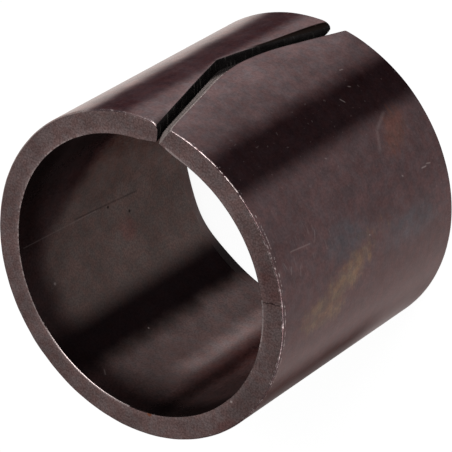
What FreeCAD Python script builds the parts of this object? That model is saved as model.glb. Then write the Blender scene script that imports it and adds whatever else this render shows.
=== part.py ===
"""Split tensioning bushing with an arrow-shaped slot, in millimetres.

One strip of spring steel is rolled into a ring. One end of the strip has a V-shaped notch, and the
other has a blunt nose that points into it, so the slot runs up the side as an arrow and no straight
line along the bushing is left without support. The nose is bevelled down to a V that follows the
notch, which makes the slot wide outside and nearly closed below. The lips beside the slot are
straight inside, as rolling leaves them. One end of the bore has a lead-in chamfer.

The bushing stands on its chamfered end. The axis is Z, +Z up, and the origin is on the axis in the
plane that it stands on. The slot faces the front, -Y, and the nose points to +X.
"""
import FreeCAD, Part
import math
import os

import Sketcher

NODE = "split_bushing"

SIZES = (
    ("bore", 30.0, "diameter of the bore"),
    ("wall", 2.5, "thickness of the rolled strip"),
    ("height", 30.0, "length along the axis"),
    ("rim_round", 0.2, "radius of the rims at both ends"),
    ("lead_land", 0.9, "flat that the lead-in chamfer leaves of the wall"),
    ("lead_rise", 3.0, "length of the lead-in chamfer along the axis"),
    ("notch_end", 1.5, "where the notch starts at both ends, left of the middle"),
    ("notch_reach", 4.5, "depth of the notch round the side"),
    ("notch_drop", 0.6, "how far the notch's point lies below mid height"),
    ("notch_point", 1.0, "radius of the notch's point"),
    ("notch_round", 0.2, "radius along the outer edge of the notch"),
    ("nose_end", 3.15, "where the nose starts at both ends, left of the middle"),
    ("nose_reach", 3.5, "how far the nose stands out round the side"),
    ("nose_drop", 1.0, "how far the nose's tip lies below mid height"),
    ("nose_bluntness", 0.6, "radius of the nose as a share of one arc from end to end"),
    ("bevel_depth", 1.5, "depth of the bevel on the nose"),
    ("root_gap", 0.25, "width of the slot below the bevel"),
    ("nose_point", 3.0, "radius of the nose's point below the bevel"),
    ("lip_ease", 0.5, "how far the straight lips lie outside the bore's circle at the slot"),
    ("lip_dip", 0.15, "how far their line dips inside it, which sets their width"),
    ("overrun", 0.1, "how far a cut runs past what it cuts"),
)

# Places that several features share, as expressions of the sizes
BORE_RADIUS = "(sizes.bore / 2)"
OUTER_RADIUS = "(sizes.bore / 2 + sizes.wall)"
MOUTH_PLANE = "(sizes.bore / 2 + sizes.wall + sizes.overrun)"
ROOT_PLANE = "(sizes.bore / 2 + sizes.wall - sizes.bevel_depth)"
INNER_PLANE = "(sizes.bore / 2 - sizes.wall / 2)"
CUT_LOW = "(-sizes.overrun)"
CUT_HIGH = "(sizes.height + sizes.overrun)"
NOTCH_TIP = "(sizes.notch_reach - sizes.notch_end)"
NOTCH_HEIGHT = "(sizes.height / 2 - sizes.notch_drop)"
NOSE_TIP = "(sizes.nose_reach - sizes.nose_end)"
NOSE_HEIGHT = "(sizes.height / 2 - sizes.nose_drop)"
LIP_RADIUS = "(sizes.bore / 2 + sizes.lip_ease)"
DIP_RADIUS = "(sizes.bore / 2 - sizes.lip_dip)"
END_LEAN = f"asin((sizes.notch_end + sizes.root_gap / 2) / {OUTER_RADIUS})"
TIP_LEAN = f"asin((sizes.root_gap / 2 - {NOTCH_TIP}) / {OUTER_RADIUS})"
WHOLE_ARC = "((sizes.height ^ 2 / 4 + sizes.nose_reach ^ 2) / (2 * sizes.nose_reach))"
NOSE_RADIUS = f"(sizes.nose_bluntness * {WHOLE_ARC})"

# How near two places must be to count as one, in mm
SAME_PLACE = 0.001


def make_sheet(doc):
    """The spreadsheet of driving sizes: name, value and what it is."""
    sheet = doc.addObject("Spreadsheet::Sheet", "sizes")
    for row, (name, value, note) in enumerate(SIZES, start=1):
        sheet.set(f"A{row}", name)
        sheet.set(f"B{row}", str(value))
        sheet.set(f"C{row}", note)
        sheet.setAlias(f"B{row}", name)
    doc.recompute()


def make_sketch(body, name, role, offset=None):
    """A sketch on the body's origin plane of that role, moved along its normal by an expression."""
    planes = [feature for feature in body.Origin.OriginFeatures if feature.Role == role]
    sketch = body.newObject("Sketcher::SketchObject", name)
    sketch.AttachmentSupport = [(planes[0], "")]
    sketch.MapMode = "FlatFace"
    if offset:
        sketch.setExpression("AttachmentOffset.Base.z", offset)
    return sketch


def place_of(sketch, corner):
    """The point that a pair of expressions gives now."""
    across, up = (float(sketch.evalExpression(expression)) for expression in corner)
    return FreeCAD.Vector(across, up, 0)


def bind(sketch, kind, where, expression):
    """Adds a dimension of that kind and has an expression drive it."""
    number = float(sketch.evalExpression(expression))
    index = sketch.addConstraint(Sketcher.Constraint(kind, *where, number))
    sketch.setExpression(f"Constraints[{index}]", expression)


def bind_point(sketch, geometry, position, corner):
    """Holds a point of the sketch at a pair of expressions, across and up from the origin."""
    across, up = corner
    bind(sketch, "DistanceX", (-1, 1, geometry, position), across)
    bind(sketch, "DistanceY", (-1, 1, geometry, position), up)


def join(sketch, first, second):
    """Joins the end of one edge to the start of the next."""
    sketch.addConstraint(Sketcher.Constraint("Coincident", first, 2, second, 1))


def draw_polygon(sketch, corners):
    """A closed outline of straight edges whose corners are pairs of expressions."""
    points = [place_of(sketch, corner) for corner in corners]
    lines = []
    for start, end in zip(points, points[1:] + points[:1]):
        lines.append(sketch.addGeometry(Part.LineSegment(start, end), False))
    for line, following in zip(lines, lines[1:] + lines[:1]):
        join(sketch, line, following)
    for line, corner in zip(lines, corners):
        bind_point(sketch, line, 1, corner)


def make_ring(body):
    """The ring, turned from the section of its wall, with the lead-in chamfer."""
    section = make_sketch(body, "wall_section", "XZ_Plane")
    draw_polygon(
        section,
        (
            (f"{OUTER_RADIUS} - sizes.lead_land", "0"),
            (OUTER_RADIUS, "0"),
            (OUTER_RADIUS, "sizes.height"),
            (BORE_RADIUS, "sizes.height"),
            (BORE_RADIUS, "sizes.lead_rise"),
        ),
    )
    ring = body.newObject("PartDesign::Revolution", "ring")
    ring.Profile = section
    ring.ReferenceAxis = (section, ["V_Axis"])
    ring.Angle = 360.0
    return ring


def soften(body, name, base, chosen, radius):
    """A fillet along the edges that the test chooses, with an expression for its radius."""
    edges = [f"Edge{i}" for i, edge in enumerate(base.Shape.Edges, start=1) if chosen(edge)]
    fillet = body.newObject("PartDesign::Fillet", name)
    fillet.Base = (base, edges)
    fillet.setExpression("Radius", radius)
    return fillet


def soften_rims(body, ring):
    """The rounded rims: both at the top, and the outer one at the end with the chamfer."""
    outer = float(ring.evalExpression(OUTER_RADIUS))
    height = float(ring.evalExpression("sizes.height"))

    def is_rim(edge):
        if not isinstance(edge.Curve, Part.Circle):
            return False
        level = edge.Curve.Center.z
        at_top = abs(level - height) < SAME_PLACE
        at_outer_foot = abs(level) < SAME_PLACE and abs(edge.Curve.Radius - outer) < SAME_PLACE
        return at_top or at_outer_foot

    return soften(body, "rounded_rims", ring, is_rim, "sizes.rim_round")


def cut_between(body, name, sketches):
    """A cut whose sides run straight from each outline to the next."""
    cut = body.newObject("PartDesign::SubtractiveLoft", name)
    cut.Profile = sketches[0]
    cut.Sections = sketches[1:]
    cut.Ruled = True
    return cut


def at_angle(radius, angle):
    """The corner at a radius and an angle to the left of the front, as a pair of expressions."""
    return (f"-{radius} * sin({angle})", f"-{radius} * cos({angle})")


def straighten_lips(body):
    """The straight lips: two flats inside the bore that meet along the slot."""
    span = f"acos({DIP_RADIUS} / {LIP_RADIUS})"
    sketches = []
    for name, level, lean in (
        ("lips_at_foot", CUT_LOW, END_LEAN),
        ("lips_at_point", NOTCH_HEIGHT, TIP_LEAN),
        ("lips_at_top", CUT_HIGH, END_LEAN),
    ):
        sketch = make_sketch(body, name, "XY_Plane", level)
        corners = (
            ("0", "0"),
            at_angle(DIP_RADIUS, f"({lean} + {span})"),
            at_angle(LIP_RADIUS, lean),
            at_angle(DIP_RADIUS, f"({lean} - {span})"),
        )
        draw_polygon(sketch, corners)
        sketches.append(sketch)
    return cut_between(body, "straight_lips", sketches)


def point_arc(sketch, centre, radius, ends):
    """The arc of a side's point, from the flank below it to the flank above it."""
    size = float(sketch.evalExpression(radius))
    middle = place_of(sketch, centre)
    below, above = (end - middle for end in ends)
    start = math.atan2(below.y, below.x) + math.acos(size / below.Length)
    stop = math.atan2(above.y, above.x) - math.acos(size / above.Length)
    circle = Part.Circle(middle, FreeCAD.Vector(0, 0, 1), size)
    return Part.ArcOfCircle(circle, start, stop)


def draw_side(sketch, end, tip, height, radius):
    """One side of the slot from its foot to its top: a V with a round point."""
    foot, top = (end, CUT_LOW), (end, CUT_HIGH)
    centre = (f"{tip} - {radius}", height)
    foot_place, top_place = place_of(sketch, foot), place_of(sketch, top)
    curve = point_arc(sketch, centre, radius, (foot_place, top_place))
    lower = sketch.addGeometry(Part.LineSegment(foot_place, curve.StartPoint), False)
    arc = sketch.addGeometry(curve, False)
    upper = sketch.addGeometry(Part.LineSegment(curve.EndPoint, top_place), False)
    sketch.addConstraint(Sketcher.Constraint("Tangent", lower, 2, arc, 1))
    sketch.addConstraint(Sketcher.Constraint("Tangent", arc, 2, upper, 1))
    bind(sketch, "Radius", (arc,), radius)
    bind_point(sketch, arc, 3, centre)
    bind_point(sketch, lower, 1, foot)
    bind_point(sketch, upper, 2, top)
    return (lower, 1), (upper, 2)


def draw_slot(sketch, notch, nose):
    """The slot's outline, from the end, tip, height and radius of its two sides."""
    for first, second in zip(draw_side(sketch, *notch), draw_side(sketch, *nose)):
        start, end = sketch.getPoint(*first), sketch.getPoint(*second)
        line = sketch.addGeometry(Part.LineSegment(start, end), False)
        sketch.addConstraint(Sketcher.Constraint("Coincident", *first, line, 1))
        sketch.addConstraint(Sketcher.Constraint("Coincident", line, 2, *second))


def notch_side(plane):
    """The notch on a plane in front of the axis, narrower nearer to it, as its faces are radial."""
    end, tip = (
        f"({place} * {plane} / {OUTER_RADIUS})" for place in ("(-sizes.notch_end)", NOTCH_TIP)
    )
    return end, tip, NOTCH_HEIGHT, "sizes.notch_point"


def draw_mouth(body):
    """The slot's outline outside: the notch and the blunt nose."""
    sketch = make_sketch(body, "mouth_outline", "XZ_Plane", MOUTH_PLANE)
    nose = ("(-sizes.nose_end)", NOSE_TIP, NOSE_HEIGHT, NOSE_RADIUS)
    draw_slot(sketch, notch_side(MOUTH_PLANE), nose)
    return sketch


def draw_depth(body, name, plane):
    """The slot's outline below the bevel, where the nose follows the notch."""
    sketch = make_sketch(body, name, "XZ_Plane", plane)
    notch = notch_side(plane)
    end, tip = (f"({place} - sizes.root_gap)" for place in notch[:2])
    draw_slot(sketch, notch, (end, tip, NOTCH_HEIGHT, "sizes.nose_point"))
    return sketch


def cut_slot(body):
    """The arrow slot: the bevelled mouth, and the narrow root that goes through to the bore."""
    root = draw_depth(body, "root_outline", ROOT_PLANE)
    cut_between(body, "slot_mouth", [draw_mouth(body), root])
    return cut_between(body, "slot_root", [root, draw_depth(body, "inner_outline", INNER_PLANE)])


def soften_notch(body, slotted):
    """The rounded outer edge of the notch. It is chosen at the point and runs on both ways."""
    outer, tip, level, reach = (
        float(slotted.evalExpression(expression))
        for expression in (OUTER_RADIUS, NOTCH_TIP, NOTCH_HEIGHT, "sizes.notch_point")
    )
    point = FreeCAD.Vector(tip, -math.sqrt(outer**2 - tip**2), level)

    def is_point_edge(edge):
        ends = [vertex.Point for vertex in edge.Vertexes]
        outside = all(abs(math.hypot(end.x, end.y) - outer) < SAME_PLACE for end in ends)
        return outside and all(end.distanceToPoint(point) < reach for end in ends)

    return soften(body, "rounded_notch", slotted, is_point_edge, "sizes.notch_round")


def check(doc):
    """Stops the run if an object of the document has failed or has a bad shape."""
    for item in doc.Objects:
        if {"Invalid", "Error"} & set(item.State):
            raise RuntimeError(f"{item.Name}: {item.State}")
        shape = getattr(item, "Shape", None)
        if shape is not None and (shape.isNull() or not shape.isValid()):
            raise RuntimeError(f"{item.Name}: bad shape")


def main():
    doc = FreeCAD.newDocument("bushing")
    make_sheet(doc)
    body = doc.addObject("PartDesign::Body", NODE)
    body.Label = NODE
    ring = make_ring(body)
    doc.recompute()
    soften_rims(body, ring)
    straighten_lips(body)
    slotted = cut_slot(body)
    doc.recompute()
    soften_notch(body, slotted)
    doc.recompute()
    check(doc)
    os.makedirs("parts", exist_ok=True)
    body.Shape.exportStep(f"parts/{NODE}.step")


main()
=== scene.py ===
"""Studio scene of the split tensioning bushing.

The bushing is one dense mesh drawn by formula over the frame's solid: the same ring, lead-in chamfer
and arrow slot, with rims and lips that are worn round unevenly. Its look is dark oxidised spring
steel. Lengths in this file are in millimetres unless a name says otherwise, and angles on the ring
are counted from the front, -Y, towards +X.
"""
import math

import bpy
import numpy as np
from mathutils import Matrix, Vector, noise


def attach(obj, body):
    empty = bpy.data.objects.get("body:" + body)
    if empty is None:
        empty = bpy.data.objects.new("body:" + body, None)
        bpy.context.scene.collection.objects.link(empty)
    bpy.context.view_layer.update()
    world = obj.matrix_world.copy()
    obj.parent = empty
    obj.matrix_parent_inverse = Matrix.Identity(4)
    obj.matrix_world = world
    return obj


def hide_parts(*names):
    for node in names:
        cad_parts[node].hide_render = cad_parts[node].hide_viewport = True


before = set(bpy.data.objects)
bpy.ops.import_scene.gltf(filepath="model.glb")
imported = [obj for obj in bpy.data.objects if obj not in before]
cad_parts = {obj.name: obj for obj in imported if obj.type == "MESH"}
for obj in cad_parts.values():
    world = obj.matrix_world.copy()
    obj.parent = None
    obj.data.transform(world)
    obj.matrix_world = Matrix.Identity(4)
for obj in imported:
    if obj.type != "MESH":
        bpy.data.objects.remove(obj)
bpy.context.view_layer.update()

MM = 0.001
NODE = "split_bushing"

# The bushing, as in the frame's solid
BORE_RADIUS = 15.0
OUTER_RADIUS = 17.5
HEIGHT = 30.0
LEAD_LAND = 0.9
LEAD_RISE = 3.0
NOTCH_END = -1.5
NOTCH_TIP = 3.0
NOTCH_HEIGHT = 14.4
NOTCH_POINT = 1.0
NOSE_END = -3.15
NOSE_TIP = 0.35
NOSE_HEIGHT = 14.0
NOSE_RADIUS = 20.3
NOSE_POINT = 3.0
BEVEL_DEPTH = 1.35
ROOT_GAP = 0.25
LIP_EASE = 0.5
LIP_DIP = 0.15
OVERRUN = 0.1
INNER_OVERRUN = 2.0
MOUTH_PLANE = OUTER_RADIUS + OVERRUN
ROOT_PLANE = OUTER_RADIUS - BEVEL_DEPTH

# Wear that the solid leaves out: the rims, the lips' edges and the bevel's deeper top end.
# Waves have a depth, a seed and a scale, and the deepest share is of the wall.
TOP_RIM = 0.15
TOP_WAVES = ((0.05, 1, 5.0), (0.04, 2, 19.0))
FOOT_RIM = 0.12
FOOT_WAVES = ((0.05, 4, 6.0),)
TOP_BORE_RIM = 0.03
BORE_WAVES = ((0.02, 5, 8.0), (0.02, 6, 23.0))
BORE_RUB = 0.1
BORE_RUB_ANGLE = math.radians(158.0)
BORE_RUB_REACH = math.radians(24.0)
NOSE_WEAR = 0.22
NOTCH_WEAR = 0.25
NOTCH_END_WEAR = 0.85
NOTCH_TOP_REACH = 4.0
NOTCH_FOOT_REACH = 7.0
NOTCH_WAVE = (0.03, 3, 0.9)
DEEPEST_SHARE = 0.8
NOTCH_CHIP = 0.5
NOTCH_CHIP_LENGTH = 2.0
NOTCH_CHIP_INSIDE = 0.3
NOTCH_CHIP_REACH = 1.8
LEAD_WEAR = 0.42
LEAD_WEAR_ANGLE = math.radians(129.5)
LEAD_WEAR_REACH = math.radians(11.3)
BEVEL_DROP = 1.1
BEVEL_DROP_LENGTH = 1.3

# How far apart the seeds lie in the noise, along a line and round the ring
LINE_SEEDS = (7.31, 1.7)
RING_SEEDS = 3.7

# The camera, in degrees round the bushing and in millimetres
CAMERA_TARGET = (-0.06, 0.35, 15.19)
CAMERA_AZIMUTH = -45.35
CAMERA_ELEVATION = 46.54
CAMERA_DISTANCE = 342.69
CAMERA_ROLL = -121.57
CAMERA_LENS = 268.9
CAMERA_SENSOR = 36.0
CAMERA_CLIP = 10.0

# How finely the mesh is divided: round the ring, through the wall and along each rounded corner
ROUND_STEPS = 330
WALL_STEPS = 16
BEVEL_STEPS = 7
CORNER_STEPS = 4
LOOP_SIZE = 2 * (ROUND_STEPS + WALL_STEPS)
BISECTIONS = 30
SHARP_ANGLE = math.radians(35.0)

# The mesh's rows by height: close together at both ends, at the lead-in's edge and at the points
ROW_STEP = 0.5
END_ZONE = 1.0
END_ROWS = (0.0, 0.01, 0.03, 0.06, 0.1, 0.15, 0.21, 0.28, 0.36, 0.46, 0.62, 0.8)
EDGE_STEP = 0.05
POINT_ZONE = 0.6
POINT_ROWS = 11

# The floor and the lamps: name, azimuth, elevation, distance, size in millimetres, power in watts
FLOOR_REACH = 2000.0
FLOOR_PAPER = (0.86, 0.86, 0.86, 1.0)
FLOOR_GLOW = 0.93
SKY_COLOR = (1.0, 1.0, 1.0, 1.0)
SKY_LEVEL = 0.5
LAMPS = (
    ("key", -10.0, 50.0, 400.0, 250.0, 3.0),
    ("fill", -120.0, 40.0, 500.0, 300.0, 2.0),
)

# The surfaces, which differ in finish, and the strips of them round each slice of the mesh
OUTSIDE, BORE, ENDS, NOTCH, NOSE = range(5)
LOOP_SURFACES = np.repeat(
    (OUTSIDE, NOSE, BORE, NOTCH), (ROUND_STEPS, WALL_STEPS, ROUND_STEPS, WALL_STEPS)
)

# The oxide's tones, and the tones of painted reflections, highlights and shade, as linear colours
# Painted reflections on the outside: the pale, light, dull, dark and shade tones below; the medium
# tone is the oxide's own
PALE_REFLECTION = (0.35, 0.27, 0.255, 1.0)
LIGHT_REFLECTION = (0.2, 0.145, 0.146, 1.0)
DIM_REFLECTION = (0.085, 0.058, 0.059, 1.0)
MEDIUM_OXIDE = (0.077, 0.05, 0.051, 1.0)
DARK_REFLECTION = (0.0148, 0.0085, 0.0092, 1.0)
SHADED_REFLECTION = (0.08, 0.053, 0.056, 1.0)
GREY_OXIDE = (0.07, 0.068, 0.075, 1.0)
OLIVE_OXIDE = (0.165, 0.11, 0.069, 1.0)
RUST = (0.14, 0.05, 0.026, 1.0)
REDDISH = (0.09, 0.035, 0.033, 1.0)
WARM = (1.06, 0.98, 0.97, 1.0)
COOL = (0.95, 1.01, 1.03, 1.0)
BORE_OXIDE = (0.07, 0.05, 0.046, 1.0)
# Painted reflections and shade in the bore: the fair, shine, dull, corner, dark and stripe tones below
FAIR_REFLECTION = (0.082, 0.058, 0.056, 1.0)
SHINE = (0.2, 0.145, 0.14, 1.0)
BORE_DULL = (0.09, 0.055, 0.053, 1.0)
BORE_CORNER_SHADE = (0.038, 0.025, 0.025, 1.0)
BORE_TOP_SHADE = (0.02, 0.0125, 0.0125, 1.0)
STRIPE_REFLECTION = (0.0065, 0.0042, 0.0045, 1.0)
END_OXIDE = (0.145, 0.1, 0.096, 1.0)
END_SHADE = (0.115, 0.08, 0.077, 1.0)
NOSE_OXIDE = (0.19, 0.165, 0.155, 1.0)
# Dark oxide painted near black as shade, for the slot's faces
SHADED_OXIDE_BLACK = (0.008, 0.007, 0.007, 1.0)
# Painted shade on the notch lip's rounded corner
LIP_CORNER_SHADE = (0.011, 0.008, 0.007, 1.0)
SOOT = (0.003, 0.002, 0.002, 1.0)
TOOL_MARK = (0.03, 0.028, 0.026, 1.0)
# Bare steel for worn rims and scratches, and also for painted glints
BARE_STEEL_AND_GLINTS = (0.42, 0.35, 0.34, 1.0)
EDGE_TINT = (0.35, 0.33, 0.33, 1.0)
# Painted reflection: the bright, side and low tints set the gloss's strength by angle
BRIGHT_TINT = (1.0, 0.96, 0.93, 1.0)
SIDE_TINT = (0.9, 0.79, 0.77, 1.0)
LOW_TINT = (0.37, 0.33, 0.32, 1.0)

# Noises: size of a grain, detail, stretch along x, y and z, and offset
EVEN = (1.0, 1.0, 1.0)
OUTER_CLOUD = (4.0, 3.0)
OUTER_MOTTLE = (1.1, 2.0, EVEN, 3.0)
OUTER_STREAK = (0.35, 3.0, (16.0, 16.0, 1.0))
OUTER_SPECK = (0.25, 2.0)
CLOUD = (3.0, 3.0)
MOTTLE = (0.8, 2.0)
SPECK = (0.2, 2.0)
BLOTCHES = (0.9, 3.0, EVEN, 7.0)
TEARS = (1.2, 3.0, EVEN, 2.0)
OLIVE_GAPS = (1.0, 3.0, EVEN, 9.0)
CHIPS = (0.3, 0.0, EVEN, 5.0)
BEADS = (0.35, 3.0)
SCUFF_LINES = (0.16, 2.0, (7.0, 7.0, 1.0))
TOOL_LINES = (0.3, 1.0, (8.0, 8.0, 1.0))

# Where most of a noise lies, and the edges of masks: the two values between which each changes
NOISE_SPAN = (0.3, 0.7)
BLOTCH_EDGE = (0.35, 0.65)
PATCH_EDGE = (0.4, 1.1)
BEAD_EDGE = (0.52, 0.72)
MARK_EDGE = (0.58, 0.7)
CHIP_EDGE = (0.78, 0.84)

# How far each noise lightens and darkens a surface, each surface's gloss, and its grain's depth
OUTER_DEPTHS = (0.1, 0.08, 0.03, 0.1)
BORE_DEPTHS = (0.13, 0.2)
END_DEPTHS = (0.18, 0.08)
NOTCH_DEPTHS = (0.2,)
NOSE_DEPTHS = (0.12,)
NOSE_SPECKLE = (0.0, 0.5)
OUTER_ROUGHNESS = (0.36, 0.42)
BORE_ROUGHNESS = (0.3, 0.4)
END_ROUGHNESS = (0.45, 0.55)
NOTCH_ROUGHNESS = (0.5, 0.6)
NOSE_ROUGHNESS = (0.4, 0.5)
BORE_METAL = 0.85
NOTCH_METAL = 0.6
NOSE_METAL = 0.5
GRAIN_DEPTH = 0.004

# The outside by angle, for its painted reflections and the painted strength of its gloss: bands have a
# start, an end and a softness in degrees, and a start or an end by itself is where the change begins
# and where it is complete. The low band, a darker gloss, also fades by height: two heights and the
# share at each.
OUTER_SWAY = 3.0
GLOW_START = (-24.0, 6.0)
LIGHT_START = (-25.0, -20.0)
LIGHT_END = (60.0, 120.0)
PALE_START = (20.0, 28.0)
PALE_END = (60.0, 130.0)
DARK_BAND = (-42.0, -24.0, 4.5)
SHADE_BAND = (7.5, 22.5, 3.5)
BRIGHT_START = (20.0, 34.0)
SIDE_START = (-58.0, -86.0)
BACK_START = (100.0, 150.0)
LOW_BAND = (-135.5, -109.5, 7.0)
LOW_BAND_END = (8.0, 15.0, 0.4, 1.0)

# Spots and stains: angle, height or radius, half the width in degrees and half the height. A share
# is how much of the spot's colour shows, and a lean is how far it falls for each degree.
RUST_SPOT = (-48.5, -3.7, 8.5, 2.3)
RUST_LEAN = 0.195
RUST_SHARE = 0.27
GREY_SPOTS = ((-71.0, 18.5, 8.0, 4.5), (-79.0, 7.5, 8.0, 6.0))
GREY_SHARE = 0.5
OLIVE_STREAK = (-83.5, -19.0, 12.0, 4.2)
OLIVE_LEAN = 0.45
OLIVE_SPOT = (-90.0, 22.5, 7.0, 4.4)
OLIVE_BREAKS = (0.4, 0.62, 0.3, 0.65)
SCUFFED_SPOT = (-68.0, 25.0, 14.0, 7.0)
SCUFF_SHARE = 0.07
CHIP_SHARE = 0.05

# Scratches on the outside: start and end by angle and height, width and strength
SCRATCHES = (
    ((-21.6, 6.4), (-21.9, 5.9), 0.12, 0.25),
    ((-30.4, 9.7), (-32.2, 9.4), 0.12, 0.2),
    ((-28.0, 7.4), (-28.6, 7.1), 0.12, 0.18),
    ((-44.4, 16.9), (-44.9, 16.7), 0.12, 0.2),
    ((-62.6, 7.5), (-63.0, 7.3), 0.14, 0.3),
    ((-64.1, 4.1), (-64.3, 3.3), 0.12, 0.3),
    ((-63.6, 3.2), (-64.1, 2.5), 0.12, 0.25),
    ((-74.0, 14.8), (-74.4, 14.6), 0.12, 0.3),
    ((-64.1, 27.2), (-65.3, 24.0), 0.12, 0.14),
    ((-62.1, 22.8), (-65.8, 23.3), 0.1, 0.12),
    ((-66.0, 28.6), (-68.5, 28.3), 0.1, 0.12),
    ((-68.5, 27.6), (-71.0, 27.9), 0.1, 0.14),
    ((-70.0, 26.2), (-73.0, 26.6), 0.1, 0.12),
    ((-41.5, 5.6), (-45.3, 8.0), 0.35, 0.07),
    ((-45.3, 8.0), (-52.0, 9.2), 0.35, 0.07),
)

# The painted shade on the notch lip's rounded outer corner: heights on the notch's straight sides, its
# widths between two heights, and its edges
NOTCH_SIDES = ((0.0, 10.0), (20.0, HEIGHT))
NOTCH_DARK_WIDTH = (0.0, 10.0, 1.05, 0.25)
NOTCH_DARK_EDGE = (0.1, -0.1)
NOTCH_DARK_END = (11.5, 9.0)
TOP_DARK_EDGE = (0.9, 0.2)
TOP_DARK_START = (26.5, 29.0)
TOP_DARK_SHARE = 0.6
NOTCH_SIDE_ONLY = (-0.8, -0.6)

# The outside's rims: lines by height, and rubbed stretches by angle with their softness and rub
CROWN_LINE = (HEIGHT - 0.11, HEIGHT - 0.02, 0.03)
CROWN_RUBS = (
    (-44.0, -6.0, 2.0, 0.2),
    (-128.0, -44.0, 4.0, 0.1),
    (-5.0, 20.0, 3.0, 0.1),
    (-5.0, -2.0, 1.0, 0.2),
)
SECOND_LINE = (HEIGHT - 0.42, HEIGHT - 0.3, 0.05)
SECOND_RUBS = ((-124.0, -48.0, 4.0, 0.12),)
RIM_SHARE = 0.65

# How much of a rim shows beads where it isn't rubbed: less, the lower the number
RIM_ALLOWANCE = -0.08
INNER_ALLOWANCE = -0.06
BORE_ALLOWANCE = -0.1

# The bore: bands of painted reflection and shade by angle, edges by height, spots, painted glints,
# scratches and its rubbed top rim
BORE_SWAY = 4.0
CORNER_BAND = (45.0, 118.0, 15.0)
CORNER_LEAN = 0.3
CORNER_EDGE = (-8.0, -3.0)
STRIPE = (137.0, 157.5, 6.0)
FAINT_STRIPE = (188.5, 196.5, 4.0)
FAINT_SHARE = 0.62
FAIR_BAND = (158.0, 186.0, 3.0)
SHINE_BAND = (177.0, 184.0, 5.0)
SHINE_RISE = (25.0, 17.0)
DULL_START = (182.0, 188.0)
DULL_END = (60.0, 40.0)
BORE_LIP = (24.3, 28.6)
LEAD_EDGE = (LEAD_RISE + 0.3, LEAD_RISE - 0.3)
LEAD_SHINE = 1.5
BORE_RED_SPOT = (116.3, 13.6, 6.0, 1.6)
BORE_RED_SHARE = 0.35
BORE_SCRATCHES = (((100.6, 21.0), (103.4, 10.6), 0.16, 0.5),)
BORE_PITS = ((103.3, 15.6, 0.8, 0.22), (109.6, 12.4, 0.8, 0.22))
DENT_SHARE = 0.8
# Painted glints in the bore: thin bright lines
BORE_GLINTS = (
    ((100.2, 29.4), (102.0, 17.5), 0.1, 0.07),
    ((159.0, 27.4), (161.4, 27.9), 0.12, 0.12),
)
# Painted glints in the bore: small bright spots
BORE_GLINT_SPOTS = ((154.5, 18.5, 0.5, 0.14), (119.9, 26.2, 0.8, 0.2))
BORE_GLINT_SHARE = 0.2
BORE_CROWN = (HEIGHT - 0.12, HEIGHT - 0.05)
BORE_RUBS = ((134.0, 179.0, 8.0, 0.5),)
BORE_RIM_SHARE = 0.55

# The end faces: lines and edges by radius, rubbed stretches, spots, a painted glint and the crack
END_LIGHT_EDGE = (BORE_RADIUS + 0.9, BORE_RADIUS + 0.2)
END_LIGHT = 1.25
END_DARK_BAND = (-132.0, -50.0, 12.0)
END_DARK = 0.78
END_RED_SPOTS = ((-71.0, 16.4, 9.0, 1.5), (-137.0, 17.1, 7.0, 0.7))
END_RED_SHARE = 0.45
BURR_SPOT = (-170.8, BORE_RADIUS + 0.1, 1.4, 0.35)
BURR_SHARE = 0.9
CRACK_ANGLE = -79.0
CRACK_WAVE = 5.0
CRACK_EDGE = (0.1, 0.4)
CRACK_SHARE = 0.65
END_OUTER_LINE = (OUTER_RADIUS - 0.24, OUTER_RADIUS - 0.16, 0.03)
END_OUTER_RUBS = ((-122.0, -44.0, 4.0, 0.12), (-8.0, 20.0, 3.0, 0.1))
END_INNER_EDGE = (BORE_RADIUS + 0.25, BORE_RADIUS + 0.1)
END_INNER_RUBS = (
    (-20.5, -9.0, 1.0, 0.4),
    (-98.0, -79.0, 3.0, 0.3),
    (30.0, 176.0, 8.0, 0.18),
    (125.0, 174.0, 8.0, 0.12),
)
END_INNER_SHARE = 0.55
STRAIGHT_LIP = (-13.0, 5.0, 5.0)
STRAIGHT_LIP_RISE = 0.3
# A painted glint on the end face
END_GLINT = (-127.8, 15.35, 0.7, 0.16)
END_GLINT_SHARE = 0.6

# The slot's faces: edges by radius and by height, and shares of colour
TOOL_MARK_RISE = (4.0, 16.0, 0.35, 1.0)
NOTCH_EDGE = (OUTER_RADIUS - 0.14, OUTER_RADIUS - 0.06)
NOTCH_EDGE_START = (11.0, 14.0)
NOTCH_EDGE_SHARE = 0.6
NOSE_LINE = (OUTER_RADIUS - 0.6, OUTER_RADIUS - 0.44, 0.06)
NOSE_LINE_SHARE = 0.6
NOSE_DARK_START = (18.3, 15.8)
NOSE_DARK_SHARE = 0.95
NOSE_RIM = (OUTER_RADIUS - 0.12, OUTER_RADIUS - 0.06)
NOSE_RIM_START = (14.5, 16.5)
NOSE_RIM_SHARE = 0.9
NOSE_RIM_ALLOWANCE = 0.06


def side_curve(end, tip, height, radius):
    """Across place of one side of the slot by height: a V with a round point, from its two ends."""
    low, high = -OVERRUN, HEIGHT + OVERRUN
    centre = tip - radius
    flanks = []
    for level, sign in ((low, 1), (high, -1)):
        away_x, away_z = end - centre, level - height
        length = math.hypot(away_x, away_z)
        turn = math.atan2(away_z, away_x) + sign * math.acos(radius / length)
        touch = (centre + radius * math.cos(turn), height + radius * math.sin(turn))
        flanks.append(((end, level), touch))
    (foot, foot_touch), (top, top_touch) = flanks

    def across(z):
        if z < foot_touch[1]:
            share = (z - foot[1]) / (foot_touch[1] - foot[1])
            return foot[0] + share * (foot_touch[0] - foot[0])
        if z > top_touch[1]:
            share = (z - top_touch[1]) / (top[1] - top_touch[1])
            return top_touch[0] + share * (top[0] - top_touch[0])
        return centre + math.sqrt(radius**2 - (z - height) ** 2)

    return across


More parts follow.
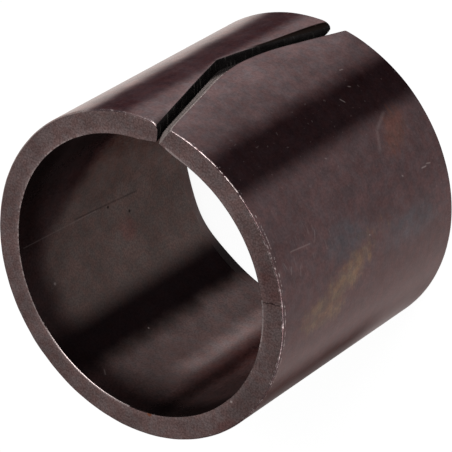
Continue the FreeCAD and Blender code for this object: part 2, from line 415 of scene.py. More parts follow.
notch_outside = side_curve(NOTCH_END, NOTCH_TIP, NOTCH_HEIGHT, NOTCH_POINT)
nose_outside = side_curve(NOSE_END, NOSE_TIP, NOSE_HEIGHT, NOSE_RADIUS)
ROOT_SHARE = ROOT_PLANE / OUTER_RADIUS
nose_root = side_curve(
    NOTCH_END * ROOT_SHARE - ROOT_GAP, NOTCH_TIP * ROOT_SHARE - ROOT_GAP, NOTCH_HEIGHT, NOSE_POINT
)


def swell(away, reach):
    """One at a place, falling smoothly to nothing away from it."""
    return math.exp(-((away / reach) ** 2))


def wobble(seed, place, scale):
    """Smooth noise from -1 to 1 along a line, the same on each run."""
    return noise.noise(Vector((seed * LINE_SEEDS[0], place * scale, seed * LINE_SEEDS[1])))


def ring_wobble(seed, angle, scale):
    """Smooth noise from -1 to 1 round the ring, which closes on itself."""
    return noise.noise(Vector((math.cos(angle) * scale, math.sin(angle) * scale, seed * RING_SEEDS)))


def uneven(angle, waves):
    """How much deeper a rim is rounded at an angle."""
    return sum(depth * ring_wobble(seed, angle, scale) for depth, seed, scale in waves)


def notch_wear(z):
    """How wide the notch lip's outer corner is worn: most at both ends and little at the point."""
    ends = swell(HEIGHT - z, NOTCH_TOP_REACH) + swell(z, NOTCH_FOOT_REACH)
    depth, seed, scale = NOTCH_WAVE
    return NOTCH_WEAR + NOTCH_END_WEAR * ends + depth * wobble(seed, z, scale)


def rim_drop(distance, radius):
    """How far a rounded rim lies inside its sharp edge at a distance from the end face."""
    if distance >= radius:
        return 0.0
    return radius - math.sqrt(max(radius**2 - (radius - distance) ** 2, 0.0))


def outer_rim(angle, z):
    """Radius of the outer rim at an angle: uneven, as it is worn and bumped."""
    if z > HEIGHT / 2:
        return TOP_RIM + uneven(angle, TOP_WAVES)
    return FOOT_RIM + uneven(angle, FOOT_WAVES)


def bore_rim(angle):
    """Radius of the bore's rim at the top end, with the place where it is rubbed."""
    rubbed = BORE_RUB * swell(angle - BORE_RUB_ANGLE, BORE_RUB_REACH)
    return TOP_BORE_RIM + rubbed + uneven(angle, BORE_WAVES)


def outer_radius(angle, z):
    """The wall's outer radius, with both rims rounded."""
    distance = min(z, HEIGHT - z)
    return OUTER_RADIUS - rim_drop(distance, outer_rim(angle, z))


def lead_in(angle, z):
    """How far the lead-in chamfer lies outside the bore, with the place where it is worn wider."""
    worn = LEAD_WEAR * swell(angle - LEAD_WEAR_ANGLE, LEAD_WEAR_REACH)
    width = OUTER_RADIUS - LEAD_LAND - BORE_RADIUS + worn
    return width * max(0.0, LEAD_RISE - z) / LEAD_RISE


def bore_radius(angle, z):
    """The wall's inner radius: bore, lead-in chamfer, straight lips and rounded top rim."""
    radius = BORE_RADIUS + lead_in(angle, z)
    middle = math.atan2(notch_outside(z) - ROOT_GAP / 2, OUTER_RADIUS)
    span = math.acos((BORE_RADIUS - LIP_DIP) / (BORE_RADIUS + LIP_EASE))
    off = abs((angle - middle + math.pi) % (2 * math.pi) - math.pi)
    if off < span:
        radius = max(radius, (BORE_RADIUS - LIP_DIP) / math.cos(span - off))
    return radius + rim_drop(HEIGHT - z, bore_rim(angle))


def polar(radius, angle):
    """A point in the slice from its radius and its angle from the front towards +X."""
    return np.array((radius * math.sin(angle), -radius * math.cos(angle)))


def between(start, end, steps):
    """Points along the straight line between two points."""
    return [start + share * (end - start) for share in np.linspace(0.0, 1.0, steps + 1)]


def worn_corner(before, corner, after):
    """A worn corner: the curve from one point to another that bends towards the sharp corner."""
    shares = np.linspace(0.0, 1.0, 2 * CORNER_STEPS + 1)
    return [(1 - s) ** 2 * before + 2 * s * (1 - s) * corner + s**2 * after for s in shares]


def notch_lip(z):
    """The notch lip in the slice at z: the points of its worn outer corner, and its face."""
    chip = NOTCH_CHIP * max(0.0, 1 - z / NOTCH_CHIP_LENGTH) ** 2
    angle = math.atan((notch_outside(z) + chip) / OUTER_RADIUS)
    deeper = angle + NOTCH_CHIP_INSIDE * swell(z, NOTCH_CHIP_REACH) / BORE_RADIUS
    outside = outer_radius(angle, z)
    inside = bore_radius(deeper, z)
    wide = notch_wear(z)
    deep = min(wide, DEEPEST_SHARE * (outside - inside))
    beside = angle + wide / OUTER_RADIUS
    start = polar(outer_radius(beside, z), beside)
    corner = worn_corner(start, polar(outside, angle), polar(outside - deep, angle))
    face = between(corner[-1], polar(inside, deeper), WALL_STEPS - CORNER_STEPS)
    return corner, face[1:]


def where_radius(start, end, wanted):
    """The point between start and end, from outside to inside, that lies at the wanted radius."""
    low, high = 0.0, 1.0
    for _ in range(BISECTIONS):
        middle = (low + high) / 2
        point = start + middle * (end - start)
        if np.hypot(*point) > wanted(math.atan2(point[0], -point[1])):
            low = middle
        else:
            high = middle
    return start + low * (end - start)


def nose_lip(z):
    """The nose lip in the slice at z: the points of its worn outer corner, and its bevel and root."""
    mouth = np.array((nose_outside(z), -MOUTH_PLANE))
    inward = np.array((-notch_outside(z) / OUTER_RADIUS, 1.0))
    drop = max(0.0, 1 - (HEIGHT - z) / BEVEL_DROP_LENGTH)
    foot = np.array((nose_root(z), -ROOT_PLANE)) + BEVEL_DROP * drop**2 * inward
    outside = where_radius(mouth, foot, lambda angle: outer_radius(angle, z))
    angle = math.atan2(outside[0], -outside[1]) - NOSE_WEAR / OUTER_RADIUS
    slant = (foot - outside) / np.hypot(*(foot - outside))
    corner = worn_corner(polar(outer_radius(angle, z), angle), outside, outside + NOSE_WEAR * slant)
    root_steps = WALL_STEPS - CORNER_STEPS - BEVEL_STEPS
    foot_angle = math.atan2(foot[0], -foot[1])
    if np.hypot(*foot) < bore_radius(foot_angle, z):
        inside = where_radius(mouth, foot, lambda angle: bore_radius(angle, z))
        return corner, between(corner[-1], inside, BEVEL_STEPS + root_steps)[1:]
    inside = where_radius(foot, foot + INNER_OVERRUN * inward, lambda angle: bore_radius(angle, z))
    return corner, between(corner[-1], foot, BEVEL_STEPS)[1:] + between(foot, inside, root_steps)[1:]


def round_curve(radius_at, start, end, steps):
    """Points on the outer or inner wall from one lip round the back to the other."""
    first = math.atan2(start[0], -start[1])
    last = math.atan2(end[0], -end[1]) + 2 * math.pi
    angles = np.linspace(first, last, steps + 1)[1:-1]
    return [start] + [polar(radius_at(angle), angle) for angle in angles] + [end]


def slice_curves(z):
    """The four sides of the slice at z: outer wall, inner wall, notch lip and nose lip."""
    corner, face = notch_lip(z)
    worn, slant = nose_lip(z)
    notch = corner[CORNER_STEPS:] + face
    nose = worn[CORNER_STEPS:] + slant
    steps = ROUND_STEPS - 2 * CORNER_STEPS
    outer = corner[CORNER_STEPS:0:-1]
    outer += round_curve(lambda angle: outer_radius(angle, z), corner[0], worn[0], steps)
    outer += worn[1:CORNER_STEPS + 1]
    inner = round_curve(lambda angle: bore_radius(angle, z), notch[-1], nose[-1], ROUND_STEPS)
    return [np.array(curve) for curve in (outer, inner, notch, nose)]


def row_heights():
    """Heights of the mesh's rows, from the foot to the top."""
    rows = set(END_ROWS) | {HEIGHT - distance for distance in END_ROWS}
    rows |= set(np.arange(END_ZONE, HEIGHT - END_ZONE + ROW_STEP / 2, ROW_STEP))
    rows |= {LEAD_RISE - EDGE_STEP, LEAD_RISE + EDGE_STEP}
    rows |= set(NOTCH_HEIGHT + np.linspace(-POINT_ZONE, POINT_ZONE, POINT_ROWS))
    return sorted(round(float(row), 4) for row in rows)


def slice_loop(curves, places, z):
    """The slice's closed loop of points at its height."""
    loop = np.zeros((LOOP_SIZE, 3))
    loop[:, 2] = z
    for curve, place in zip(curves, places):
        loop[place, :2] = curve
    return loop


def cap_points(curves, z):
    """The inner points of an end face, blended from its four sides."""
    outer, inner, notch, nose = curves
    along = np.linspace(0.0, 1.0, ROUND_STEPS + 1)[1:-1, None, None]
    down = np.linspace(0.0, 1.0, WALL_STEPS + 1)[None, 1:-1, None]
    walls = (1 - down) * outer[1:-1, None] + down * inner[1:-1, None]
    lips = (1 - along) * notch[None, 1:-1] + along * nose[None, 1:-1]
    corners = (
        (1 - along) * ((1 - down) * outer[0] + down * inner[0])
        + along * ((1 - down) * outer[-1] + down * inner[-1])
    )
    flat = (walls + lips - corners).reshape(-1, 2)
    return np.column_stack((flat, np.full(len(flat), z)))


def loop_places():
    """Where the points of a slice's four sides sit in its closed loop."""
    outer = np.arange(ROUND_STEPS + 1)
    nose = ROUND_STEPS + np.arange(WALL_STEPS + 1)
    inner = 2 * ROUND_STEPS + WALL_STEPS - np.arange(ROUND_STEPS + 1)
    notch = (LOOP_SIZE - np.arange(WALL_STEPS + 1)) % LOOP_SIZE
    return outer, inner, notch, nose


def wall_faces(rows):
    """The faces between neighbouring loops, row by row from the foot."""
    place = np.arange(LOOP_SIZE)
    following = (place + 1) % LOOP_SIZE
    row = np.stack((place, following, following + LOOP_SIZE, place + LOOP_SIZE), axis=-1)
    starts = LOOP_SIZE * np.arange(rows - 1)
    return (starts[:, None, None] + row).reshape(-1, 4)


def cap_faces(places, loop, inside):
    """An end face's faces, seen from below, from its loop's first point and its first inner point."""
    outer, inner, notch, nose = places
    table = np.zeros((ROUND_STEPS + 1, WALL_STEPS + 1), int)
    table[:, 0] = loop + outer
    table[:, -1] = loop + inner
    table[0, :] = loop + notch
    table[-1, :] = loop + nose
    within = table[1:-1, 1:-1]
    within[:] = inside + np.arange(within.size).reshape(within.shape)
    quads = np.stack((table[:-1, :-1], table[:-1, 1:], table[1:, 1:], table[1:, :-1]), axis=-1)
    return quads.reshape(-1, 4)


def bushing_mesh():
    """Vertices, faces and the surface each face belongs to."""
    places = loop_places()
    heights = row_heights()
    slices = [slice_curves(z) for z in heights]
    loops = [slice_loop(curves, places, z) for curves, z in zip(slices, heights)]
    foot_points = cap_points(slices[0], heights[0])
    top_points = cap_points(slices[-1], heights[-1])
    inside = LOOP_SIZE * len(heights)
    walls = wall_faces(len(heights))
    foot = cap_faces(places, 0, inside)
    top = cap_faces(places, inside - LOOP_SIZE, inside + len(foot_points))[:, ::-1]
    ends = np.full(len(foot) + len(top), ENDS)
    surfaces = np.concatenate((np.tile(LOOP_SURFACES, len(heights) - 1), ends))
    return np.vstack((*loops, foot_points, top_points)), np.vstack((walls, foot, top)), surfaces


def make_bushing():
    """The bushing as one mesh object that stands for the frame's solid."""
    points, faces, surfaces = bushing_mesh()
    mesh = bpy.data.meshes.new("bushing")
    mesh.from_pydata((points * MM).tolist(), [], faces.tolist())
    mesh.validate()
    for finish in (outer_steel, bore_steel, end_steel, notch_steel, nose_steel):
        mesh.materials.append(finish())
    mesh.polygons.foreach_set("material_index", surfaces.astype(np.int32))
    mesh.shade_smooth()
    mesh.set_sharp_from_angle(angle=SHARP_ANGLE)
    piece = bpy.data.objects.new("bushing", mesh)
    bpy.context.scene.collection.objects.link(piece)
    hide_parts(NODE)
    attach(piece, "root")


class Graph:
    """A steel material's nodes, with the place on the ring that they work from."""

    def __init__(self, name):
        self.material = bpy.data.materials.new(name)
        self.material.use_nodes = True
        self.tree = self.material.node_tree
        self.shader = self.tree.nodes["Principled BSDF"]
        metres = self.add("ShaderNodeTexCoord", {}).outputs["Object"]
        self.place = self.scaled(metres, (1 / MM, 1 / MM, 1 / MM))
        parts = self.add("ShaderNodeSeparateXYZ", {0: self.place}).outputs
        self.height = parts[2]
        self.radius = self.length(parts[0], parts[1])
        turn = self.math("ARCTAN2", parts[0], self.math("MULTIPLY", parts[1], -1.0))
        self.angle = self.math("DEGREES", turn)
        self.arc = self.math("MULTIPLY", turn, self.radius)

    def add(self, kind, inputs, **settings):
        """A node with its settings, and its inputs linked or set."""
        node = self.tree.nodes.new(kind)
        for key, value in settings.items():
            setattr(node, key, value)
        for key, value in inputs.items():
            if isinstance(value, bpy.types.NodeSocket):
                self.tree.links.new(value, node.inputs[key])
            else:
                node.inputs[key].default_value = value
        return node

    def math(self, operation, *values):
        inputs = dict(enumerate(values))
        return self.add("ShaderNodeMath", inputs, operation=operation).outputs[0]

    def product(self, *values):
        result = values[0]
        for value in values[1:]:
            result = self.math("MULTIPLY", result, value)
        return result

    def total(self, *values):
        result = values[0]
        for value in values[1:]:
            result = self.math("ADD", result, value)
        return result

    def length(self, across, up):
        """How long a line is that goes so far across and so far up."""
        return self.math("SQRT", self.total(self.product(across, across), self.product(up, up)))

    def most(self, values):
        """The greatest of several masks."""
        values = list(values)
        result = values[0]
        for value in values[1:]:
            result = self.math("MAXIMUM", result, value)
        return result

    def scaled(self, vector, factors):
        """A vector or colour times another, part by part."""
        inputs = {0: vector, 1: factors}
        return self.add("ShaderNodeVectorMath", inputs, operation="MULTIPLY").outputs[0]

    def ease(self, value, low, high, start=0.0, end=1.0):
        """A smooth step from start to end while the value goes from low to high."""
        inputs = {"Value": value, "From Min": low, "From Max": high, "To Min": start, "To Max": end}
        return self.add("ShaderNodeMapRange", inputs, interpolation_type="SMOOTHSTEP").outputs[0]

    def fade(self, value, low, high):
        """A smooth step from one to nothing."""
        return self.ease(value, low, high, 1.0, 0.0)

    def band(self, value, start, end, soft):
        """One between start and end, falling to nothing over a soft edge at each."""
        rise = self.ease(value, start - soft, start + soft)
        return self.product(rise, self.fade(value, end - soft, end + soft))

    def noise(self, grain, detail, stretch=EVEN, offset=0.0):
        """Noise from 0 to 1 whose grains are about as long as given, in millimetres."""
        factors = tuple(1.0 / (grain * length) for length in stretch)
        vector = self.scaled(self.place, factors)
        if offset:
            inputs = {0: vector, 1: (offset, offset, offset)}
            vector = self.add("ShaderNodeVectorMath", inputs, operation="ADD").outputs[0]
        inputs = {"Vector": vector, "Scale": 1.0, "Detail": detail}
        return self.add("ShaderNodeTexNoise", inputs).outputs["Fac"]

    def vary(self, grain, low, high):
        """A factor from low to high that follows a noise."""
        return self.ease(grain, *NOISE_SPAN, low, high)

    def grained(self, grains, depths):
        """A factor round one that follows several noises, each to its own depth."""
        return self.product(*(
            self.vary(grain, 1.0 - depth, 1.0 + depth) for grain, depth in zip(grains, depths)
        ))

    def mix(self, share, first, second):
        inputs = {"Factor": share, 6: first, 7: second}
        node = self.add("ShaderNodeMix", inputs, data_type="RGBA")
        return node.outputs[2]

    def dim(self, color, factor):
        inputs = {0: color, "Scale": factor}
        return self.add("ShaderNodeVectorMath", inputs, operation="SCALE").outputs[0]

    def rough(self, grain):
        """How far a noise lies from its middle, which makes an edge ragged."""
        return self.math("SUBTRACT", grain, 0.5)

    def patch(self, angle, level, half_turn, half_level, ragged=0.0, along=None):
        """A soft patch on the ring round a place, with a ragged edge."""
        along = along or self.height
        across = self.math("DIVIDE", self.math("SUBTRACT", self.angle, angle), half_turn)
        up = self.math("DIVIDE", self.math("SUBTRACT", along, level), half_level)
        return self.fade(self.total(self.length(across, up), ragged), *PATCH_EDGE)

    def leaning(self, lean):
        """The height plus a share of the angle, for a patch that leans."""
        return self.total(self.height, self.product(self.angle, lean))

    def stroke(self, start, end, width, radius):
        """A thin mark along a straight line on the wall, between two places by angle and height."""
        first, last = (Vector((math.radians(turn) * radius, level)) for turn, level in (start, end))
        along = (last - first).normalized()
        across = self.math("SUBTRACT", self.arc, first.x)
        up = self.math("SUBTRACT", self.height, first.y)
        run = self.total(self.product(across, along.x), self.product(up, along.y))
        off = self.total(self.product(up, along.x), self.product(across, -along.y))
        inside = self.band(run, 0.0, (last - first).length, width)
        return self.product(inside, self.fade(self.math("ABSOLUTE", off), 0.0, width))

    def strokes(self, marks, radius):
        """Several thin marks, each with its start, end, width and strength."""
        return self.most(
            self.product(self.stroke(start, end, width, radius), strength)
            for start, end, width, strength in marks
        )

    def beads(self, near, allowance):
        """Where a worn edge shows bright metal: in beads, and unbroken at a high allowance."""
        broken = self.noise(*BEADS)
        return self.product(near, self.ease(self.total(broken, allowance), *BEAD_EDGE))

    def rubbed(self, stretches, allowance):
        """The beads' allowance round a rim: more along the stretches that are rubbed more."""
        more = (self.product(self.band(self.angle, *stretch), rub) for *stretch, rub in stretches)
        return self.total(*more, allowance)

    def finish(self, color, roughness, grain, edge=EDGE_TINT, metal=1.0):
        """Link the colour, the roughness and the grain's bump to the shader."""
        self.tree.links.new(color, self.shader.inputs["Base Color"])
        self.tree.links.new(roughness, self.shader.inputs["Roughness"])
        if isinstance(edge, bpy.types.NodeSocket):
            self.tree.links.new(edge, self.shader.inputs["Specular Tint"])
        else:
            self.shader.inputs["Specular Tint"].default_value = edge
        self.shader.inputs["Metallic"].default_value = metal
        self.shader.inputs["Specular IOR Level"].default_value = 0.0
        inputs = {"Height": grain, "Distance": GRAIN_DEPTH * MM, "Strength": 1.0}
        bump = self.add("ShaderNodeBump", inputs)
        self.tree.links.new(bump.outputs[0], self.shader.inputs["Normal"])
        return self.material


def tinted(graph, tone, grain):
    """The tone turned a little warmer and cooler in patches."""
    return graph.scaled(tone, graph.mix(graph.ease(grain, *BLOTCH_EDGE), WARM, COOL))


def painted_reflection_bands(graph, angle):
    """The outside's painted reflections: its tones in soft upright bands round the ring, light, pale,
    dark and shaded.
    """
    light = graph.product(graph.ease(angle, *LIGHT_START), graph.fade(angle, *LIGHT_END))
    pale = graph.product(graph.ease(angle, *PALE_START), graph.fade(angle, *PALE_END))
    lit = graph.mix(graph.ease(angle, *GLOW_START), DIM_REFLECTION, LIGHT_REFLECTION)
    tone = graph.mix(light, MEDIUM_OXIDE, lit)
    tone = graph.mix(pale, tone, PALE_REFLECTION)
    tone = graph.mix(graph.band(angle, *DARK_BAND), tone, DARK_REFLECTION)
    return graph.mix(graph.band(angle, *SHADE_BAND), tone, SHADED_REFLECTION)


def outer_stains(graph, tone, cloud, streak):
    """Rust, grey and olive stains on the side below the slot."""
    ragged = graph.rough(cloud)
    streaky = graph.rough(streak)
    rust = graph.patch(*RUST_SPOT, streaky, graph.leaning(RUST_LEAN))
    tone = graph.mix(graph.product(rust, RUST_SHARE), tone, RUST)
    grey = graph.most(graph.patch(*spot, ragged) for spot in GREY_SPOTS)
    tone = graph.mix(graph.product(grey, GREY_SHARE), tone, GREY_OXIDE)
    torn = graph.total(ragged, streaky, graph.rough(graph.noise(*TEARS)))
    streak_down = graph.patch(*OLIVE_STREAK, torn, graph.leaning(OLIVE_LEAN))
    olive = graph.most((streak_down, graph.patch(*OLIVE_SPOT, torn)))
    broken = graph.ease(graph.noise(*OLIVE_GAPS), *OLIVE_BREAKS)
    return graph.mix(graph.product(olive, broken), tone, OLIVE_OXIDE)


def flank(near, far):
    """The slope and the place at the foot of a straight side of the notch, from two heights on it."""
    slope = (notch_outside(far) - notch_outside(near)) / (far - near)
    return slope, notch_outside(near) - slope * near


def notch_lip_shade(graph):
    """Painted shade on the notch lip's rounded corner on the outside, at both ends of the slot."""
    low, high = (graph.math("MULTIPLY_ADD", graph.height, *flank(*side)) for side in NOTCH_SIDES)
    beside = graph.math("SUBTRACT", graph.arc, graph.math("MINIMUM", low, high))
    over = graph.math("SUBTRACT", beside, graph.ease(graph.height, *NOTCH_DARK_WIDTH))
    foot = graph.product(graph.ease(over, *NOTCH_DARK_EDGE), graph.ease(graph.height, *NOTCH_DARK_END))
    top = graph.product(graph.ease(beside, *TOP_DARK_EDGE), graph.ease(graph.height, *TOP_DARK_START))
    dark = graph.most((foot, graph.product(top, TOP_DARK_SHARE)))
    return graph.product(dark, graph.ease(beside, *NOTCH_SIDE_ONLY))


def outer_rims(graph):
    """Bright metal along the rubbed top rim: a line, and a second beaded one lower down."""
    crown = graph.band(graph.height, *CROWN_LINE)
    second = graph.band(graph.height, *SECOND_LINE)
    return graph.product(graph.most((
        graph.beads(crown, graph.rubbed(CROWN_RUBS, RIM_ALLOWANCE)),
        graph.beads(second, graph.rubbed(SECOND_RUBS, INNER_ALLOWANCE)),
    )), RIM_SHARE)


def painted_reflection_tint(graph, angle):
    """Painted reflection: the tint of the outside's gloss at a grazing view, made brighter or darker
    by angle round the ring.
    """
    low = graph.product(graph.band(angle, *LOW_BAND), graph.ease(graph.height, *LOW_BAND_END))
    top = graph.product(graph.ease(angle, *BRIGHT_START), graph.fade(angle, *BACK_START))
    side = graph.total(graph.ease(angle, *SIDE_START), graph.ease(angle, *BACK_START))
    tint = graph.mix(top, EDGE_TINT, BRIGHT_TINT)
    tint = graph.mix(side, tint, SIDE_TINT)
    return graph.mix(low, tint, LOW_TINT)


def outer_wear(graph):
    """How much bare steel shows on the outside: rims, scratches, chips and scuffs."""
    chips = graph.ease(graph.noise(*CHIPS), *CHIP_EDGE)
    lines = graph.ease(graph.noise(*SCUFF_LINES), *MARK_EDGE)
    scuffs = graph.product(graph.patch(*SCUFFED_SPOT), lines)
    return graph.most((
        outer_rims(graph),
        graph.strokes(SCRATCHES, OUTER_RADIUS),
        graph.product(chips, CHIP_SHARE),
        graph.product(scuffs, SCUFF_SHARE),
    ))


def outer_steel():
    """The outside: dark oxide with painted reflections in upright bands, painted shade at the notch
    lip's corner, fine grains, stains and rubbed edges.
    """
    graph = Graph("outer_steel")
    cloud = graph.noise(*OUTER_CLOUD)
    mottle = graph.noise(*OUTER_MOTTLE)
    streak = graph.noise(*OUTER_STREAK)
    speck = graph.noise(*OUTER_SPECK)
    angle = graph.total(graph.angle, graph.product(graph.rough(cloud), OUTER_SWAY))
    tone = outer_stains(graph, painted_reflection_bands(graph, angle), cloud, streak)
    tone = tinted(graph, tone, graph.noise(*BLOTCHES))
    grains = graph.grained((cloud, mottle, streak, speck), OUTER_DEPTHS)
    # Painted shade on the notch lip's rounded corner
    tone = graph.mix(notch_lip_shade(graph), graph.dim(tone, grains), LIP_CORNER_SHADE)
    color = graph.mix(outer_wear(graph), tone, BARE_STEEL_AND_GLINTS)
    return graph.finish(color, graph.vary(cloud, *OUTER_ROUGHNESS), speck, painted_reflection_tint(graph, angle))


def bore_reflection_bands(graph, cloud):
    """The bore's painted reflections and shade: a dark corner beside the slot, dark stripes and a
    light one behind it, a shine on the lead-in and a darker top.
    """
    sway = graph.product(graph.rough(cloud), BORE_SWAY)
    around = graph.math("MODULO", graph.total(graph.angle, 360.0, sway), 360.0)
    slope = graph.math("SUBTRACT", graph.height, graph.product(around, CORNER_LEAN))
    corner = graph.product(graph.ease(slope, *CORNER_EDGE), graph.band(around, *CORNER_BAND))
    dull = graph.most((graph.ease(around, *DULL_START), graph.ease(around, *DULL_END)))
    shine = graph.product(graph.band(around, *SHINE_BAND), graph.ease(graph.height, *SHINE_RISE))
    strip = graph.ease(graph.height, *LEAD_EDGE, 1.0, LEAD_SHINE)
    faint = graph.product(graph.band(around, *FAINT_STRIPE), FAINT_SHARE)
    tone = graph.mix(graph.band(around, *FAIR_BAND), BORE_OXIDE, FAIR_REFLECTION)
    tone = graph.mix(shine, tone, SHINE)
    tone = graph.dim(graph.mix(dull, tone, BORE_DULL), strip)
    tone = graph.mix(corner, tone, BORE_CORNER_SHADE)
    tone = graph.mix(graph.ease(graph.height, *BORE_LIP), tone, BORE_TOP_SHADE)
    return graph.mix(graph.most((graph.band(around, *STRIPE), faint)), tone, STRIPE_REFLECTION)


def bore_steel():
    """The bore: smooth dull oxide with painted reflections and shade in bands, a scratch, a reddish
    stain, painted glints and a worn top rim.
    """
    graph = Graph("bore_steel")
    cloud = graph.noise(*CLOUD)
    speck = graph.noise(*SPECK)
    red = graph.product(graph.patch(*BORE_RED_SPOT, graph.rough(cloud)), BORE_RED_SHARE)
    tone = graph.mix(red, bore_reflection_bands(graph, cloud), REDDISH)
    tone = tinted(graph, tone, graph.noise(*BLOTCHES))
    tone = graph.dim(tone, graph.grained((cloud, speck), BORE_DEPTHS))
    pits = graph.most(graph.patch(*pit) for pit in BORE_PITS)
    dents = graph.most((graph.strokes(BORE_SCRATCHES, BORE_RADIUS), pits))
    tone = graph.mix(graph.product(dents, DENT_SHARE), tone, SOOT)
    # Painted glints: bright spots and thin lines in bare steel's colour
    specks = graph.product(graph.most(graph.patch(*spot) for spot in BORE_GLINT_SPOTS), BORE_GLINT_SHARE)
    tone = graph.mix(graph.most((graph.strokes(BORE_GLINTS, BORE_RADIUS), specks)), tone, BARE_STEEL_AND_GLINTS)
    crown = graph.ease(graph.height, *BORE_CROWN)
    rim = graph.product(graph.beads(crown, graph.rubbed(BORE_RUBS, BORE_ALLOWANCE)), BORE_RIM_SHARE)
    color = graph.mix(rim, tone, BARE_STEEL_AND_GLINTS)
    return graph.finish(color, graph.vary(speck, *BORE_ROUGHNESS), speck, metal=BORE_METAL)


def end_rims(graph):
    """Bright beads on the end face along its outer and inner edges, and a painted glint."""
    outer = graph.band(graph.radius, *END_OUTER_LINE)
    rise = graph.product(graph.band(graph.angle, *STRAIGHT_LIP), -STRAIGHT_LIP_RISE)
    inner = graph.ease(graph.total(graph.radius, rise), *END_INNER_EDGE)
    # A painted glint
    speck = graph.patch(*END_GLINT, along=graph.radius)
    return graph.most((
        graph.product(graph.beads(outer, graph.rubbed(END_OUTER_RUBS, RIM_ALLOWANCE)), RIM_SHARE),
        graph.product(
            graph.beads(inner, graph.rubbed(END_INNER_RUBS, INNER_ALLOWANCE)), END_INNER_SHARE
        ),
        graph.product(speck, END_GLINT_SHARE),
    ))


def end_crack(graph, mottle):
    """A fine crack across the end face, at one angle and a little crooked."""
    wave = graph.product(graph.rough(mottle), CRACK_WAVE)
    beside = graph.math("ABSOLUTE", graph.total(graph.angle, -CRACK_ANGLE, wave))
    return graph.product(graph.fade(beside, *CRACK_EDGE), CRACK_SHARE)


def end_steel():
    """The end faces: grainy oxide, lighter towards the bore, with a crack, stains and worn rims."""
    graph = Graph("end_steel")
    cloud = graph.noise(*CLOUD)
    mottle = graph.noise(*MOTTLE)
    speck = graph.noise(*SPECK)
    tone = graph.mix(graph.ease(cloud, *BLOTCH_EDGE), END_OXIDE, END_SHADE)
    red = graph.most(graph.patch(*spot, graph.rough(cloud), graph.radius) for spot in END_RED_SPOTS)
    tone = graph.mix(graph.product(red, END_RED_SHARE), tone, REDDISH)
    burr = graph.patch(*BURR_SPOT, along=graph.radius)
    tone = graph.mix(graph.product(burr, BURR_SHARE), tone, RUST)
    shaded = graph.product(
        graph.grained((speck, mottle), END_DEPTHS),
        graph.ease(graph.radius, *END_LIGHT_EDGE, 1.0, END_LIGHT),
        graph.ease(graph.band(graph.angle, *END_DARK_BAND), 0.0, 1.0, 1.0, END_DARK),
    )
    tone = graph.dim(tinted(graph, tone, mottle), shaded)
    tone = graph.mix(end_crack(graph, mottle), tone, SOOT)
    color = graph.mix(end_rims(graph), tone, BARE_STEEL_AND_GLINTS)
    return graph.finish(color, graph.vary(speck, *END_ROUGHNESS), speck)


def notch_steel():
    """The notch's face: dark oxide painted almost black as painted shade, with faint tool marks, and a
    painted highlight along its outer edge.
    """
    graph = Graph("notch_steel")
    mark = graph.ease(graph.noise(*TOOL_LINES), *MARK_EDGE)
    shown = graph.product(mark, graph.ease(graph.height, *TOOL_MARK_RISE))
    # Painted shade: the face near black
    tone = graph.mix(shown, SHADED_OXIDE_BLACK, TOOL_MARK)
    # Painted highlight along the outer edge
    edge = graph.ease(graph.radius, *NOTCH_EDGE)
    shown = graph.product(edge, graph.ease(graph.height, *NOTCH_EDGE_START), NOTCH_EDGE_SHARE)
    tone = graph.mix(shown, tone, LIGHT_REFLECTION)
    color = graph.dim(tone, graph.grained((graph.noise(*MOTTLE),), NOTCH_DEPTHS))
    return graph.finish(color, graph.vary(mark, *NOTCH_ROUGHNESS), mark, metal=NOTCH_METAL)


def nose_steel():
    """The nose's bevel: bare grey steel to past the point, then almost black as painted shade, with a
    thin dark line and a beaded bright edge.
    """
    graph = Graph("nose_steel")
    speck = graph.noise(*SPECK)
    tone = graph.mix(graph.vary(speck, *NOSE_SPECKLE), NOSE_OXIDE, END_OXIDE)
    tone = graph.dim(tone, graph.grained((speck,), NOSE_DEPTHS))
    # Painted shade: a thin dark line, and almost black towards the foot
    line = graph.product(graph.band(graph.radius, *NOSE_LINE), NOSE_LINE_SHARE)
    far = graph.product(graph.ease(graph.height, *NOSE_DARK_START), NOSE_DARK_SHARE)
    tone = graph.mix(graph.most((line, far)), tone, SHADED_OXIDE_BLACK)
    rim = graph.product(graph.ease(graph.radius, *NOSE_RIM), graph.ease(graph.height, *NOSE_RIM_START))
    bright = graph.beads(graph.product(rim, NOSE_RIM_SHARE), NOSE_RIM_ALLOWANCE)
    color = graph.mix(bright, tone, BARE_STEEL_AND_GLINTS)
    return graph.finish(color, graph.vary(speck, *NOSE_ROUGHNESS), speck, metal=NOSE_METAL)


def direction(azimuth, elevation):
    """From the bushing towards a place: degrees from the front towards +X, and degrees upwards."""
    turn, tilt = math.radians(azimuth), math.radians(elevation)
    return Vector((math.cos(tilt) * math.sin(turn), -math.cos(tilt) * math.cos(turn), math.sin(tilt)))


def add_camera():
    """The camera at the photograph's place: turned on its side, because the ring lay on its wall."""
    camera = bpy.data.cameras.new("camera")
    camera.lens = CAMERA_LENS
    camera.sensor_width = CAMERA_SENSOR
    camera.clip_start = CAMERA_CLIP * MM
    holder = bpy.data.objects.new("camera", camera)
    bpy.context.scene.collection.objects.link(holder)
    bpy.context.scene.camera = holder
    back = direction(CAMERA_AZIMUTH, CAMERA_ELEVATION)
    level = back.to_track_quat("Z", "Y").to_matrix()
    roll = Matrix.Rotation(math.radians(CAMERA_ROLL), 3, "Z")
    place = Vector(CAMERA_TARGET) + CAMERA_DISTANCE * back
    holder.matrix_world = Matrix.Translation(place * MM) @ (level @ roll).to_4x4()


def math_node(tree, operation):
    node = tree.nodes.new("ShaderNodeMath")
    node.operation = operation
    return node


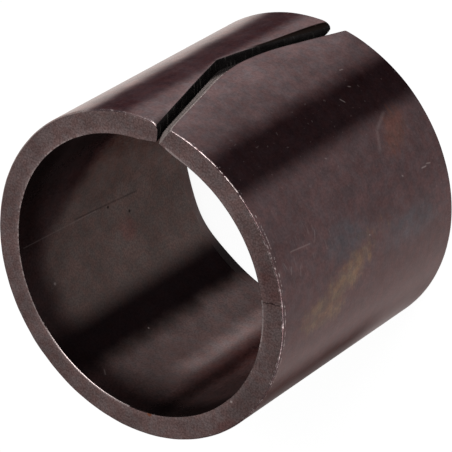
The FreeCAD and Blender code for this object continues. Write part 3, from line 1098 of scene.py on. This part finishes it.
def floor_material():
    """Pale paper that takes the shadow, white to the camera, in reflections and through glass."""
    material = bpy.data.materials.new("floor")
    material.use_nodes = True
    tree = material.node_tree
    tree.nodes.clear()
    paper = tree.nodes.new("ShaderNodeBsdfDiffuse")
    paper.inputs["Color"].default_value = FLOOR_PAPER
    glow = tree.nodes.new("ShaderNodeEmission")
    path = tree.nodes.new("ShaderNodeLightPath")
    mirrored = math_node(tree, "MAXIMUM")
    seen = math_node(tree, "MAXIMUM")
    share = math_node(tree, "MULTIPLY")
    share.inputs[1].default_value = FLOOR_GLOW
    mix = tree.nodes.new("ShaderNodeMixShader")
    out = tree.nodes.new("ShaderNodeOutputMaterial")
    for source, target in (
        (path.outputs["Is Glossy Ray"], mirrored.inputs[0]),
        (path.outputs["Is Transmission Ray"], mirrored.inputs[1]),
        (path.outputs["Is Camera Ray"], seen.inputs[0]),
        (mirrored.outputs[0], seen.inputs[1]),
        (seen.outputs[0], share.inputs[0]),
        (share.outputs[0], mix.inputs["Fac"]),
        (paper.outputs[0], mix.inputs[1]),
        (glow.outputs[0], mix.inputs[2]),
        (mix.outputs[0], out.inputs["Surface"]),
    ):
        tree.links.new(source, target)
    return material


def add_floor():
    """A wide pale floor under the bushing."""
    mesh = bpy.data.meshes.new("floor")
    reach = FLOOR_REACH * MM
    corners = [(-reach, -reach, 0), (reach, -reach, 0), (reach, reach, 0), (-reach, reach, 0)]
    mesh.from_pydata(corners, [], [(0, 1, 2, 3)])
    mesh.materials.append(floor_material())
    floor = bpy.data.objects.new("floor", mesh)
    bpy.context.scene.collection.objects.link(floor)


def add_lamp(name, azimuth, elevation, distance, size, power):
    """A soft square lamp that looks at the bushing."""
    light = bpy.data.lights.new(name, "AREA")
    light.shape = "SQUARE"
    light.size = size * MM
    light.energy = power
    lamp = bpy.data.objects.new(name, light)
    bpy.context.scene.collection.objects.link(lamp)
    back = direction(azimuth, elevation)
    level = back.to_track_quat("Z", "Y").to_matrix()
    place = Vector((0, 0, HEIGHT / 2)) + distance * back
    lamp.matrix_world = Matrix.Translation(place * MM) @ level.to_4x4()


def light_scene():
    """Two soft lamps and an even sky."""
    world = bpy.data.worlds.new("studio")
    bpy.context.scene.world = world
    world.use_nodes = True
    sky = world.node_tree.nodes["Background"]
    sky.inputs["Strength"].default_value = SKY_LEVEL
    sky.inputs["Color"].default_value = SKY_COLOR
    for lamp in LAMPS:
        add_lamp(*lamp)
    bpy.context.scene.view_settings.view_transform = "Standard"


make_bushing()
add_floor()
light_scene()
add_camera()
